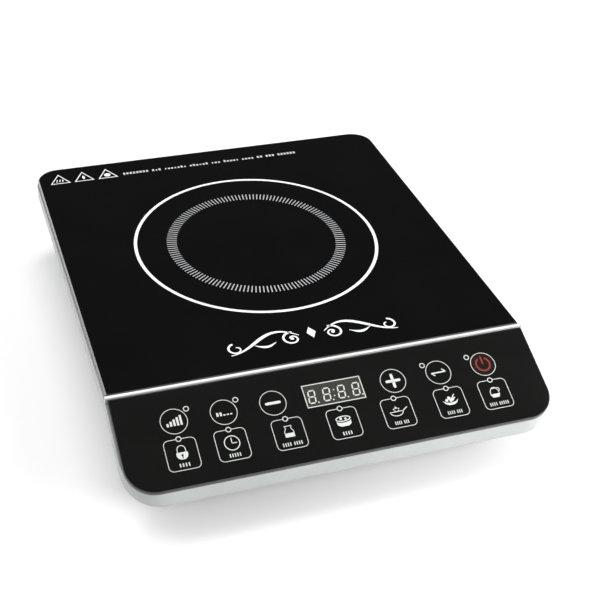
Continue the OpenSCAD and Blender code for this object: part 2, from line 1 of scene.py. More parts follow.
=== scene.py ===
"""Looks of the induction cooktop: materials on the CAD nodes, printed marks, studio and camera."""
import json
import math
import random
import bpy
from mathutils import Euler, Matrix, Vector


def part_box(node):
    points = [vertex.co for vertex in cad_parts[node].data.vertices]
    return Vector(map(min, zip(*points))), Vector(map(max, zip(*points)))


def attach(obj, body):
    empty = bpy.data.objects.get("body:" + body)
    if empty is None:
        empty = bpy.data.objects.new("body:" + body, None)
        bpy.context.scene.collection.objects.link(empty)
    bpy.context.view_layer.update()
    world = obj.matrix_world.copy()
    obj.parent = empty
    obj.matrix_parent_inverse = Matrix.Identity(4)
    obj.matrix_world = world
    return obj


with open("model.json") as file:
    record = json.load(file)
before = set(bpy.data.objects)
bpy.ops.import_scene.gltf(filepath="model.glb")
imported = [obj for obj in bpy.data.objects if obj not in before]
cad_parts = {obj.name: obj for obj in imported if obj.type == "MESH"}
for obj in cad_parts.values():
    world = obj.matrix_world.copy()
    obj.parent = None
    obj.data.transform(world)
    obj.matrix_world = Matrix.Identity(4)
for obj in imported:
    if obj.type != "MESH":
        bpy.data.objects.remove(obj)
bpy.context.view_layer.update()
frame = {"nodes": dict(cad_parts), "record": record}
MM = 0.001
BODY = "housing"
RNG = random.Random(7)
SLOPE = math.radians(22.2)  # of the control panel
WHITE = (1.0, 1.0, 1.0)
COOL = (0.95, 1.0, 0.99)

# ---------------------------------------------------------------- node helpers


class Nodes:
    """A small builder for procedural materials, in object coordinates given in millimetres."""

    def __init__(self, name):
        self.mat = bpy.data.materials.new(name)
        self.mat.use_nodes = True
        self.tree = self.mat.node_tree
        self.tree.nodes.clear()
        self.out = self.tree.nodes.new("ShaderNodeOutputMaterial")
        self.bsdf = self.tree.nodes.new("ShaderNodeBsdfPrincipled")
        self.link(self.bsdf.outputs["BSDF"], self.out.inputs["Surface"])
        coord = self.tree.nodes.new("ShaderNodeTexCoord")
        scale = self.tree.nodes.new("ShaderNodeMapping")
        scale.inputs["Scale"].default_value = (1000, 1000, 1000)
        self.link(coord.outputs["Object"], scale.inputs["Vector"])
        self.mm = scale.outputs["Vector"]

    def link(self, a, b):
        self.tree.links.new(a, b)

    def set(self, **values):
        for key, value in values.items():
            self.bsdf.inputs[key.replace("_", " ")].default_value = value
        return self

    def stretched(self, x, y, z):
        m = self.tree.nodes.new("ShaderNodeMapping")
        m.inputs["Scale"].default_value = (x, y, z)
        self.link(self.mm, m.inputs["Vector"])
        return m.outputs["Vector"]

    def noise(self, scale, detail=3.0, rough=0.5, vector=None):
        n = self.tree.nodes.new("ShaderNodeTexNoise")
        n.inputs["Scale"].default_value = scale
        n.inputs["Detail"].default_value = detail
        n.inputs["Roughness"].default_value = rough
        self.link(vector or self.mm, n.inputs["Vector"])
        return n.outputs["Fac"]

    def voronoi(self, scale, feature="F1", vector=None):
        n = self.tree.nodes.new("ShaderNodeTexVoronoi")
        n.feature = feature
        n.inputs["Scale"].default_value = scale
        self.link(vector or self.mm, n.inputs["Vector"])
        return n

    def ramp(self, value, stops):
        n = self.tree.nodes.new("ShaderNodeValToRGB")
        n.color_ramp.elements[0].position, n.color_ramp.elements[0].color = stops[0]
        n.color_ramp.elements[1].position, n.color_ramp.elements[1].color = stops[-1]
        for place, colour in stops[1:-1]:
            n.color_ramp.elements.new(place).color = colour
        self.link(value, n.inputs["Fac"])
        return n.outputs["Color"]

    def span(self, value, lo, hi, from_lo=0.0, from_hi=1.0):
        n = self.tree.nodes.new("ShaderNodeMapRange")
        n.inputs["From Min"].default_value = from_lo
        n.inputs["From Max"].default_value = from_hi
        n.inputs["To Min"].default_value = lo
        n.inputs["To Max"].default_value = hi
        self.link(value, n.inputs["Value"])
        return n.outputs["Result"]

    def math(self, op, a, b):
        n = self.tree.nodes.new("ShaderNodeMath")
        n.operation = op
        for k, v in enumerate((a, b)):
            if isinstance(v, (int, float)):
                n.inputs[k].default_value = v
            else:
                self.link(v, n.inputs[k])
        return n.outputs["Value"]

    def blend(self, op, a, b):
        """Two colours mixed by op at full strength."""
        n = self.tree.nodes.new("ShaderNodeMix")
        n.data_type, n.blend_type = "RGBA", op
        n.inputs["Factor"].default_value = 1.0
        self.link(a, n.inputs[6])  # colour sockets A and B
        self.link(b, n.inputs[7])
        return n.outputs[2]

    def colour(self, socket):
        self.link(socket, self.bsdf.inputs["Base Color"])
        return self

    def roughness(self, socket):
        self.link(socket, self.bsdf.inputs["Roughness"])
        return self

    def bump(self, height, strength, distance=0.0001):
        n = self.tree.nodes.new("ShaderNodeBump")
        n.inputs["Strength"].default_value = strength
        n.inputs["Distance"].default_value = distance
        self.link(height, n.inputs["Height"])
        self.link(n.outputs["Normal"], self.bsdf.inputs["Normal"])
        return self


def grey(v, tint=WHITE):
    return (v * tint[0], v * tint[1], v * tint[2], 1.0)


# ---------------------------------------------------------------- materials


def black_sheet(name, body, painted_edge_grey, up, rough, tint=WHITE):
    """Polished black sheet: faces that turn away from up are dull and get a pale painted highlight, standing
    in for the light the edges catch.
    """
    m = Nodes(name)
    coord = m.tree.nodes.new("ShaderNodeTexCoord")
    facing = m.tree.nodes.new("ShaderNodeVectorMath")
    facing.operation = "DOT_PRODUCT"
    facing.inputs[1].default_value = up
    m.link(coord.outputs["Normal"], facing.inputs[0])
    flat = facing.outputs["Value"]
    # painted highlight: side and bevel faces, picked by how far they face up, are pale grey for the light the
    # edges catch
    painted_edge_highlight = m.ramp(flat, [(0.0, grey(painted_edge_grey[0])), (0.45, grey(painted_edge_grey[0])), (0.6, grey(painted_edge_grey[1])),
                           (0.85, grey(painted_edge_grey[1])), (0.97, grey(0.0))])
    tone = m.ramp(m.noise(0.02, 3), [(0.3, grey(body[0], tint)), (0.7, grey(body[1], tint))])
    m.colour(m.blend("ADD", tone, painted_edge_highlight))
    dull = m.math("MULTIPLY", m.span(flat, 0.3, 0.0, 0.45, 0.6), m.noise(3.0, 3))
    m.roughness(m.math("ADD", m.span(m.noise(0.03, 4), rough[0], rough[1], 0.3, 0.7), dull))
    m.bump(m.noise(0.6, 2), 0.006)
    return m


def glass_black():
    # the pair after the body greys is the painted highlight on the glass's side and bevel faces
    m = black_sheet("glass_black", (0.0022, 0.0029), (0.2, 0.06), (0, 0, 1), (0.05, 0.1))
    return m.set(IOR=1.5, Specular_IOR_Level=0.36).mat


def panel_black():
    up = (0, -math.sin(SLOPE), math.cos(SLOPE))
    # the pair after the body greys is the painted highlight on the panel's side and bevel faces
    m = black_sheet("panel_black", (0.0046, 0.0056), (0.02, 0.05), up, (0.12, 0.17), (1, 1, 0.97))
    return m.set(IOR=1.5, Specular_IOR_Level=0.42).mat


def silver_paint():
    m = Nodes("silver_paint")
    flake = m.voronoi(9.0)
    tone = m.math("ADD", m.span(flake.outputs["Distance"], -0.5, 0.5), m.noise(0.03, 3))
    m.colour(m.ramp(tone, [(0.1, grey(0.335, COOL)), (0.9, grey(0.395, COOL))]))
    m.roughness(m.span(m.noise(0.4, 4), 0.3, 0.42, 0.3, 0.7))
    m.bump(m.noise(7.0, 2), 0.05, 0.00005)
    return m.set(Metallic=0.35, Specular_IOR_Level=0.5).mat


def strip_silver():
    """Brushed silver strip with painted shade in bands near its two long edges, standing for the seams beside
    it, and lighter again at the very edge, from its own box's y range.
    """
    m = Nodes("strip_silver")
    lo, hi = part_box("divider_strip")
    middle, half = (lo.y + hi.y) / 2 / MM, (hi.y - lo.y) / 2 / MM
    across = m.tree.nodes.new("ShaderNodeSeparateXYZ")
    m.link(m.mm, across.inputs["Vector"])
    off = m.math("ABSOLUTE", m.math("SUBTRACT", across.outputs["Y"], middle), 0.0)
    # painted shade: the darker bands near the long edges stand for the seams between the strip and the glass
    # and panel
    painted_edge_grey = m.ramp(m.span(off, 0.0, 1.0, 0.0, half),
                  [(0.55, grey(1.0)), (0.72, grey(0.3)), (0.86, grey(0.3)), (1.0, grey(0.5))])
    brushed = m.noise(0.5, 4, 0.6, m.stretched(0.05, 5, 5))
    m.colour(m.blend("MULTIPLY", m.ramp(brushed, [(0.3, grey(0.7)), (0.7, grey(0.8))]), painted_edge_grey))
    m.roughness(m.span(brushed, 0.22, 0.36, 0.3, 0.7))
    m.bump(brushed, 0.06)
    return m.set(Metallic=0.3).mat


def moulded(name, lo, hi, rough=(0.45, 0.62), grain=1.2, strength=0.25, tint=WHITE):
    m = Nodes(name)
    m.colour(m.ramp(m.noise(0.6, 4), [(0.3, grey(lo, tint)), (0.7, grey(hi, tint))]))
    texture = m.voronoi(grain, "SMOOTH_F1").outputs["Distance"]
    fine = m.noise(grain * 2.2, 3)
    m.roughness(m.span(fine, rough[0], rough[1], 0.3, 0.7))
    m.bump(m.math("ADD", texture, fine), strength)
    return m.mat


def rubber(name="rubber_black", lo=0.012, hi=0.024, tint=WHITE):
    m = Nodes(name)
    m.colour(m.ramp(m.noise(0.3, 4), [(0.3, grey(lo, tint)), (0.7, grey(hi, tint))]))
    m.roughness(m.span(m.noise(1.4, 3), 0.62, 0.85, 0.3, 0.7))
    m.bump(m.noise(3.0, 4), 0.3)
    return m.set(Specular_IOR_Level=0.35).mat


def metal(name, colour, rough=(0.25, 0.4), stretch=(0.1, 4, 4), strength=0.08):
    m = Nodes(name)
    lines = m.noise(0.8, 4, 0.6, m.stretched(*stretch))
    dim = tuple(0.82 * c for c in colour)
    m.colour(m.ramp(lines, [(0.3, (*dim, 1)), (0.7, (*colour, 1))]))
    m.roughness(m.span(lines, rough[0], rough[1], 0.3, 0.7))
    m.bump(lines, strength)
    return m.set(Metallic=1.0).mat


def copper_wire():
    m = Nodes("copper_wire")
    strands = m.voronoi(2.6).outputs["Distance"]
    m.colour(m.ramp(strands, [(0.05, (0.25, 0.09, 0.035, 1)), (0.5, (0.66, 0.27, 0.11, 1))]))
    m.roughness(m.span(m.noise(0.6, 3), 0.25, 0.42, 0.3, 0.7))
    m.bump(strands, 0.5)
    return m.set(Metallic=0.85).mat


def circuit_board():
    m = Nodes("circuit_board")
    tracks = m.voronoi(0.22, "DISTANCE_TO_EDGE").outputs["Distance"]
    m.colour(m.ramp(tracks, [(0.02, (0.10, 0.30, 0.10, 1)), (0.06, (0.03, 0.13, 0.05, 1))]))
    m.roughness(m.span(m.noise(0.8, 3), 0.3, 0.45, 0.3, 0.7))
    m.bump(tracks, 0.15)
    return m.mat


def glossy(name, colour, rough=(0.22, 0.36)):
    m = Nodes(name)
    dim = tuple(0.8 * c for c in colour)
    m.colour(m.ramp(m.noise(0.2, 4), [(0.3, (*dim, 1)), (0.7, (*colour, 1))]))
    m.roughness(m.span(m.noise(0.7, 4), rough[0], rough[1], 0.3, 0.7))
    m.bump(m.noise(0.8, 3), 0.08)
    return m.mat


def mineral(name, lo, hi, tint=WHITE):
    m = Nodes(name)
    spots = m.voronoi(1.1).outputs["Distance"]
    m.colour(m.ramp(spots, [(0.1, grey(lo, tint)), (0.6, grey(hi, tint))]))
    m.roughness(m.span(m.noise(1.0, 4), 0.45, 0.7, 0.3, 0.7))
    m.bump(spots, 0.2)
    return m.mat


def ink(name, colour, spread=0.06):
    """Screen-printed enamel: slightly uneven density and a soft sheen."""
    m = Nodes(name)
    dim = tuple(c * (1 - spread) for c in colour)
    m.colour(m.ramp(m.noise(0.9, 4), [(0.3, (*dim, 1)), (0.7, (*colour, 1))]))
    m.roughness(m.span(m.noise(1.5, 3), 0.38, 0.55, 0.3, 0.7))
    m.bump(m.noise(6.0, 2), 0.1, 0.00003)
    return m.set(Specular_IOR_Level=0.12).mat


SLOTS = {
    "black_glass": glass_black(),
    "panel_black": panel_black(),
    "silver_plastic": silver_paint(),
    "strip_chrome": strip_silver(),
    "black_plastic": moulded("black_plastic", 0.012, 0.015),
    "silicone": rubber("silicone", 0.02, 0.035),
    "silicone_light": rubber("silicone_light", 0.5, 0.62, (1, 1, 0.95)),
    "rubber_black": rubber(),
    "steel": metal("steel", (0.56, 0.57, 0.58)),
    "copper": copper_wire(),
    "phenolic": moulded("phenolic", 0.02, 0.035, grain=0.8),
    "ferrite": mineral("ferrite", 0.03, 0.06),
    "mica": mineral("mica", 0.42, 0.6, (1, 0.92, 0.74)),
    "aluminium": metal("aluminium", (0.66, 0.67, 0.68), stretch=(0.08, 3, 3)),
    "pcb": circuit_board(),
    "chip_black": glossy("chip_black", (0.016, 0.016, 0.018), (0.4, 0.55)),
    "cap_blue": glossy("cap_blue", (0.05, 0.13, 0.36)),
    "cap_yellow": glossy("cap_yellow", (0.62, 0.36, 0.05)),
    "cap_sleeve": glossy("cap_sleeve", (0.02, 0.025, 0.09)),
    "tape_yellow": glossy("tape_yellow", (0.62, 0.42, 0.05)),
    "brass": metal("brass", (0.68, 0.46, 0.16)),
    "fuse_ceramic": glossy("fuse_ceramic", (0.66, 0.62, 0.54)),
    "nylon_white": glossy("nylon_white", (0.7, 0.68, 0.6)),
    "led_lens": glossy("led_lens", (0.5, 0.52, 0.46)),
    "display_face": glossy("display_face", (0.035, 0.032, 0.022)),
}
for part in frame["record"]["subparts"]:
    node = frame["nodes"][part["node"]]
    node.data.materials.clear()
    node.data.materials.append(SLOTS[part["material_slot"]])

INK_WHITE = ink("ink_white", (0.8, 0.81, 0.82))
INK_TICK = ink("ink_tick", (0.4, 0.41, 0.42))
INK_PALE = ink("ink_pale", (0.46, 0.47, 0.46))
INK_RED = ink("ink_red", (0.17, 0.034, 0.025))
INK_RED_DIM = ink("ink_red_dim", (0.010, 0.0034, 0.003))
DISPLAY_TINT = ink("display_tint", (0.032, 0.031, 0.025))
SEGMENT = ink("segment", (0.5, 0.51, 0.49))
INK_ICON = ink("ink_icon", (0.52, 0.53, 0.52))

# ---------------------------------------------------------------- where things are

glass_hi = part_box("top_glass")[1]
strip_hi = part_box("divider_strip")[1]
mica_lo, mica_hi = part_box("mica_sheet")
STRIP_HALF = 1.55 * MM
KINK = Vector((0, strip_hi.y - STRIP_HALF, glass_hi.z))  # the bend between glass and panel
ZONE_Y = (mica_lo.y + mica_hi.y) / 2 / MM  # the cooking zone's centre
REAR_Y = glass_hi.y / MM


def on_glass(x, y, h):
    """Point on the cooking glass, x and y in millimetres from the origin, h above the surface."""
    return Vector((x * MM, y * MM, glass_hi.z + h * MM))


def on_panel(x, y, h):
    """Point on the control panel: y is millimetres down the slope, negative, h above the face."""
    run = -y * MM
    return KINK + Vector((x * MM, -run * math.cos(SLOPE) - h * MM * math.sin(SLOPE),
                          -run * math.sin(SLOPE) + h * MM * math.cos(SLOPE)))


# ---------------------------------------------------------------- print shapes, in millimetres


def arc(cx, cy, r, a0=0.0, a1=360.0, steps=48):
    return [(cx + r * math.cos(math.radians(a0 + (a1 - a0) * i / steps)),
             cy + r * math.sin(math.radians(a0 + (a1 - a0) * i / steps))) for i in range(steps + 1)]


def disc(cx, cy, r, steps=32):
    return arc(cx, cy, r, steps=steps)[:-1]


class Print:
    """Collects flat shapes and builds them as one thin raised mesh on a face."""

    def __init__(self, place, lift=0.02, base=0.003):
        self.place, self.lift, self.base = place, lift, base
        self.verts, self.faces = [], []

    def _slab(self, outline, faces):
        """outline: 2D points; faces: index lists over them. Adds top, bottom and the wall round it."""
        n, start = len(outline), len(self.verts)
        self.verts += [self.place(x, y, self.lift) for x, y in outline]
        self.verts += [self.place(x, y, self.base) for x, y in outline]
        for f in faces:
            self.faces.append([start + i for i in f])
            self.faces.append([start + n + i for i in reversed(f)])

    def fill(self, points):
        signed = sum(a[0] * b[1] - b[0] * a[1] for a, b in zip(points, points[1:] + points[:1]))
        pts = points if signed > 0 else points[::-1]
        n, start = len(pts), len(self.verts)
        self._slab(pts, [list(range(n))])
        for i in range(n):
            j = (i + 1) % n
            self.faces.append([start + i, start + n + i, start + n + j, start + j])
        return self

    def box(self, cx, cy, w, h, turn=0.0):
        c, s = math.cos(math.radians(turn)), math.sin(math.radians(turn))
        corners = [(-w / 2, -h / 2), (w / 2, -h / 2), (w / 2, h / 2), (-w / 2, h / 2)]
        return self.fill([(cx + x * c - y * s, cy + x * s + y * c) for x, y in corners])

    def pill(self, x0, y0, x1, y1, width):
        """Bar with round ends."""
        a = math.degrees(math.atan2(y1 - y0, x1 - x0))
        near, far = arc(x0, y0, width / 2, a + 90, a + 270, 8), arc(x1, y1, width / 2, a - 90, a + 90, 8)
        return self.fill(far + near)

    def stroke(self, points, width, closed=False, taper=None):
        """Line of even width along points, or of width(t) where taper is a function of 0 to 1."""
        pts = points[:-1] if closed and math.dist(points[0], points[-1]) < 1e-6 else list(points)
        n = len(pts)
        left, right = [], []
        for i, (x, y) in enumerate(pts):
            before = pts[i - 1] if i or closed else pts[i]
            after = pts[(i + 1) % n] if i < n - 1 or closed else pts[i]
            d1 = Vector((x - before[0], y - before[1])) if before != (x, y) else None
            d2 = Vector((after[0] - x, after[1] - y)) if after != (x, y) else None
            d1 = (d1 or d2).normalized()
            d2 = (d2 or d1).normalized()
            mid = (d1 + d2).normalized()
            reach = 1 / max(0.5, mid.dot(d2))
            half = (taper(i / (n - 1)) if taper else width) / 2 * reach
            left.append((x - mid.y * half, y + mid.x * half))
            right.append((x + mid.y * half, y - mid.x * half))
        start, m = len(self.verts), 2 * n
        quads, last = [], n if closed else n - 1
        for i in range(last):
            j = (i + 1) % n
            quads.append([i, n + i, n + j, j])
        self._slab(left + right, quads)
        for i in range(last):
            j = (i + 1) % n
            self.faces.append([start + i, start + j, start + m + j, start + m + i])
            self.faces.append([start + n + j, start + n + i, start + m + n + i, start + m + n + j])
        if not closed:
            self.faces.append([start, start + m, start + m + n, start + n])
            self.faces.append([start + n - 1, start + 2 * n - 1, start + m + 2 * n - 1, start + m + n - 1])
        return self

    def build(self, name, material):
        mesh = bpy.data.meshes.new(name)
        mesh.from_pydata(self.verts, [], self.faces)
        mesh.validate()
        mesh.materials.append(material)
        obj = bpy.data.objects.new(name, mesh)
        bpy.context.scene.collection.objects.link(obj)
        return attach(obj, BODY)


def rounded(cx, cy, w, h, r, steps=6):
    """Points round a rectangle with round corners, from the middle of its top edge."""
    pts = [(cx, cy + h / 2)]
    for sx, sy, a in ((1, 1, 90), (1, -1, 0), (-1, -1, -90), (-1, 1, -180)):
        pts += arc(cx + sx * (w / 2 - r), cy + sy * (h / 2 - r), r, a, a - 90, steps)
    return pts


# ---------------------------------------------------------------- marks on the cooking glass

RING_R, RING_W = 90.2, 2.35
TICKS, TICK_IN, TICK_OUT, TICK_W = 144, 59.6, 67.1, 0.78

zone = Print(on_glass)
zone.stroke(arc(0, ZONE_Y, RING_R, steps=240), RING_W, closed=True)
zone.build("zone_ring", INK_WHITE)

ticks = Print(on_glass)
mid = (TICK_IN + TICK_OUT) / 2
for k in range(TICKS):
    turn = 360 * k / TICKS
    a = math.radians(turn)
    ticks.box(mid * math.cos(a), ZONE_Y + mid * math.sin(a), TICK_OUT - TICK_IN, TICK_W, turn)
ticks.build("zone_ticks", INK_TICK)

# three warning triangles: steam, a drop and a disc
SIGN_TOP, SIGN_LOW, SIGN_HALF = REAR_Y - 9.8, REAR_Y - 23.2, 7.4
STEAM_X, DROP_X, DISC_X = -126.7, -107.5, -88.2
marks = Print(on_glass)
for cx in (STEAM_X, DROP_X, DISC_X):
    marks.stroke([(cx, SIGN_TOP), (cx + SIGN_HALF, SIGN_LOW), (cx - SIGN_HALF, SIGN_LOW)], 0.8, closed=True)
for dx in (-2.3, 0, 2.3):
    marks.pill(STEAM_X + dx - 0.35, SIGN_LOW + 2.4, STEAM_X + dx + 0.35, SIGN_LOW + 5.8, 0.7)
marks.fill([(DROP_X, SIGN_LOW + 1.8), (DROP_X + 1.2, SIGN_LOW + 5.0), (DROP_X, SIGN_LOW + 8.4),
            (DROP_X - 1.2, SIGN_LOW + 5.0)])
marks.fill(disc(DISC_X, SIGN_LOW + 4.4, 2.6, 20))
marks.build("hot_surface_marks", INK_WHITE)

# a line of plain blocks stands for the printed words
WORDS = (8, 3, 7, 6, 3, 5, 4, 2, 3, 6)
CAPITALS = (0, 7, 8, 9)  # words of tall blocks only
LINE_START, LINE_END, WORD_GAP = -76.0, 72.5, 0.85
TALL, SHORT = 3.0, 2.2
blocks = Print(on_glass)
pitch = (LINE_END - LINE_START) / (sum(WORDS) + WORD_GAP * (len(WORDS) - 1))
x, base_y = LINE_START, REAR_Y - 22.0
for w, count in enumerate(WORDS):
    for k in range(count):
        capital = w in CAPITALS or (w == 1 and k == 0)
        tall = TALL if capital else RNG.choice((SHORT, SHORT, SHORT, TALL))
        wide = pitch * (0.62 if tall == TALL else RNG.choice((0.4, 0.6, 0.64)))
        blocks.box(x + pitch / 2, base_y + tall / 2, wide, tall)
        x += pitch
    x += WORD_GAP * pitch
blocks.build("caution_blocks", INK_ICON)

# plain scroll ornament between the zone and the divider
SCROLL_X, SCROLL_Y = 2.0, KINK.y / MM + 29.6


def swell(low, high, power=1.4):
    """Width along a stroke: thin at both ends and full in the middle."""
    return lambda t: low + (high - low) * math.sin(math.pi * t) ** power


def fade(first, last):
    """Width along a stroke that changes evenly from end to end."""
    return lambda t: first + (last - first) * t


def spiral(cx, cy, r0, r1, a0, a1, steps=56):
    pts = []
    for i in range(steps + 1):
        t = i / steps
        a, r = math.radians(a0 + (a1 - a0) * t), r0 + (r1 - r0) * t
        pts.append((cx + r * math.cos(a), cy + r * math.sin(a)))
    return pts


def on_side(side, points):
    return [(SCROLL_X + side * x, SCROLL_Y + y) for x, y in points]


def even(count):
    """Even values from 0 to 1."""
    return [i / count for i in range(count + 1)]


stem = [(9 + 50 * t, -3.5 + 11 * math.sin(math.pi * (0.08 + 1.35 * t)) * (1 - 0.35 * t)) for t in even(60)]
leaf = [(26 + 15 * t, -4.0 - 3.4 * math.sin(math.pi * t)) for t in even(24)]
EYE_X, EYE_Y = 14.5, -3.2  # centre of the inner curl
scroll = Print(on_glass)
for side in (-1, 1):
    scroll.stroke(on_side(side, stem), 2, taper=swell(0.6, 2.5))
    scroll.stroke(on_side(side, spiral(EYE_X, EYE_Y, 7.0, 1.6, 105, -330)), 2, taper=fade(1.7, 0.9))
    scroll.fill(disc(SCROLL_X + side * EYE_X, SCROLL_Y + EYE_Y, 1.3, 16))
    scroll.stroke(on_side(side, spiral(54.0, -4.6, 5.8, 1.8, 80, -260)), 2, taper=fade(1.6, 0.8))
    scroll.stroke(on_side(side, leaf), 2, taper=swell(0.4, 2.2))
scroll.fill([(SCROLL_X, SCROLL_Y - 6.0), (SCROLL_X + 3.2, SCROLL_Y), (SCROLL_X, SCROLL_Y + 6.0),
             (SCROLL_X - 3.2, SCROLL_Y)])
scroll.build("scroll_ornament", INK_WHITE)

# ---------------------------------------------------------------- marks on the control panel

ROW1, ROW2, LED_ROW = -24.3, -47.0, -36.6  # down the slope: round keys, square keys, their lamps
CIRCLES = HIGH_X, LOW_X, MINUS_X, PLUS_X, START_X, POWER_X = -106.1, -74.0, -41.6, 40.8, 73.2, 105.8
SQUARES = LOCK_X, TIMER_X, MILK_X, STEW_X, PAN_X, BOWL_X, JUG_X = (
    -106.1, -74.2, -37.0, -0.4, 36.8, 74.0, 105.9)
LAMPS = (-96.7, -64.6, 64.0, 96.3)
LAMP_Y, LAMP_R, LAMP_LINE = -17.3, 1.6, 0.62
KEY_R, KEY_W, KEY_H, LINE = 8.55, 20.2, 20.8, 0.46
WINDOW_L, WINDOW_R, WINDOW_LOW, WINDOW_TOP = -20.2, 19.2, -32.2, -16.5


def frame_corners(inset):
    """Corners of the display's window, anticlockwise from the lower left."""
    left, right, low, top = WINDOW_L + inset, WINDOW_R - inset, WINDOW_LOW + inset, WINDOW_TOP - inset
    return [(left, low), (right, low), (right, top), (left, top)]


keys = Print(on_panel)
for cx in CIRCLES:
    keys.stroke(arc(cx, ROW1, KEY_R), LINE, closed=True)
for cx in LAMPS:
    keys.stroke(arc(cx, LAMP_Y, LAMP_R, steps=24), LAMP_LINE, closed=True)
for cx in SQUARES:
    path = rounded(cx, ROW2, KEY_W, KEY_H, 3.2)
    top = path[0][1]
    keys.stroke([(cx + 1.9, top)] + path[1:] + [(cx - 1.9, top)], LINE)
    keys.stroke(arc(cx, LED_ROW, LAMP_R, steps=24), LAMP_LINE, closed=True)
keys.stroke(frame_corners(0), 0.66, closed=True)
keys.build("key_outlines", INK_PALE)

icons = Print(on_panel)
# rising and short level bars for the highest and lowest setting
BAR_W, BAR_STEP = 1.35, 2.2
for k in range(5):
    x = BAR_STEP * (k - 2)
    tall = 2.2 + 1.15 * k
    icons.box(HIGH_X + x, ROW1 - 3.2 + tall / 2, BAR_W, tall)
    tall = 2.6 if k < 2 else 0.9
    icons.box(LOW_X + x, ROW1 - 2.4 + tall / 2, BAR_W, tall)
# minus and plus
BAR_HALF, BAR_LINE = 4.3, 1.9
for cx in (MINUS_X, PLUS_X):
    icons.pill(cx - BAR_HALF, ROW1, cx + BAR_HALF, ROW1, BAR_LINE)
for dy in (-2.7, 2.7):
    icons.pill(PLUS_X, ROW1 + dy - 1.6, PLUS_X, ROW1 + dy + 1.6, BAR_LINE)
# start and pause: a line with two half arrows
icons.pill(START_X - 4.8, ROW1, START_X + 4.8, ROW1, 0.9)
for side in (-1, 1):
    icons.pill(START_X + side * 4.8, ROW1 + side * 0.3, START_X + side * 3.1, ROW1 + side * 1.9, 0.75)

IC = ROW2 + 1.4  # middle of the symbols on the square keys


def shifted(cx, points):
    """Points about a symbol's middle, moved to the key at cx."""
    return [(cx + x, IC + y) for x, y in points]


def both_sides(points):
    """Points from the middle line to the right, and the same mirrored to the left."""
    return [(-x, y) for x, y in reversed(points)] + points


def ellipse(x, y, rx, ry, a0, a1, count):
    return [(x + rx * math.cos(a0 + (a1 - a0) * t), y + ry * math.sin(a0 + (a1 - a0) * t))
            for t in even(count)]


def dots(cx, spots, count=10):
    for x, y, r in spots:
        icons.fill(disc(cx + x, IC + y, r, count))


# padlock
icons.stroke([(LOCK_X - 2.6, IC)] + arc(LOCK_X, IC + 1.9, 2.6, 180, 0, 16) + [(LOCK_X + 2.6, IC)], 0.5)
icons.fill(shifted(LOCK_X, [(-3.5, 0), (-3.7, -1.8), (-3.1, -3.5), (-1.7, -4.6), (0, -4.9), (1.7, -4.6),
                            (3.1, -3.5), (3.7, -1.8), (3.5, 0)]))
# clock
icons.stroke(arc(TIMER_X, IC - 0.2, 4.8), 0.6, closed=True)
icons.pill(TIMER_X, IC - 0.4, TIMER_X, IC + 3.1, 0.55)
icons.pill(TIMER_X, IC - 0.4, TIMER_X + 3.0, IC - 0.4, 0.55)
# milk bottle
bottle = both_sides([(2.9, -3.6), (2.9, 0.3), (1.7, 2.2), (2.2, 3.9)])
icons.stroke(shifted(MILK_X, bottle), 0.45, closed=True)
icons.box(MILK_X, IC - 2.3, 5.6, 2.5)
# stew pot
icons.stroke(shifted(STEW_X, ellipse(0, 1.7, 4.7, 1.7, 0, math.tau, 32)), 0.65, closed=True)
icons.fill(shifted(STEW_X, [(-4.9, 0.4), (-4.6, -2.2), (-2.6, -3.6), (2.6, -3.6), (4.6, -2.2), (4.9, 0.4),
                            (3.4, -0.7), (0, -1.1), (-3.4, -0.7)]))
dots(STEW_X, ((-1.5, 1.9, 0.9), (1.6, 1.5, 0.8)), 12)
# frying pan
icons.stroke(shifted(PAN_X, ellipse(-1, -0.6, 4.4, 3.0, math.pi, math.tau, 20)), 0.5)
icons.pill(PAN_X - 5.4, IC - 0.6, PAN_X + 3.4, IC - 0.6, 0.45)
icons.pill(PAN_X + 3.3, IC - 0.6, PAN_X + 6.6, IC + 1.5, 0.6)
dots(PAN_X, ((-2.6, 1.3, 0.45), (0.9, 1.4, 0.45), (-2.0, 0.1, 0.4), (0.4, 0.1, 0.4)))
icons.fill(shifted(PAN_X, [(-1.9, 1.6), (0.1, 1.6), (-0.9, 3.4)]))
# bowl with food
icons.fill(shifted(BOWL_X, [(-5.6, 0.4), (-4.0, -2.0), (-1.8, -3.2), (1.8, -3.2), (4.0, -2.0), (5.6, 0.4),
                            (3.2, -1.2), (0, -1.7), (-3.2, -1.2)]))
dots(BOWL_X, ((-2.6, 0.4, 1.1), (-0.6, 1.8, 1.2), (1.6, 0.8, 1.2), (0.2, -0.2, 1.0), (3.2, 1.6, 0.6)))
icons.pill(BOWL_X + 1.4, IC + 1.6, BOWL_X + 3.6, IC + 4.0, 0.6)
# jug
jug = [(-1.9, 2.7), (-3.1, 0.6), (-3.3, -1.9), (-2.3, -3.7), (1.9, -3.7), (2.9, -1.9), (2.7, 0.6), (1.7, 2.7)]
icons.stroke(shifted(JUG_X, jug), 0.45, closed=True)
icons.fill(shifted(JUG_X, [(-3.3, -1.4), (-3.2, -2.2), (-2.3, -3.8), (1.9, -3.8), (2.8, -2.2), (2.9, -1.4)]))
icons.stroke(arc(JUG_X + 2.5, IC + 1.5, 1.3, -80, 150, 12), 0.5)
icons.pill(JUG_X - 1.2, IC + 3.2, JUG_X + 1.0, IC + 3.2, 0.6)
icons.build("key_symbols", INK_ICON)
keyhole = Print(on_panel, lift=0.03)
keyhole.fill(disc(LOCK_X, IC - 2.0, 0.75, 16))
keyhole.box(LOCK_X, IC - 3.2, 0.6, 1.8)
keyhole.build("padlock_keyhole", SLOTS["panel_black"])

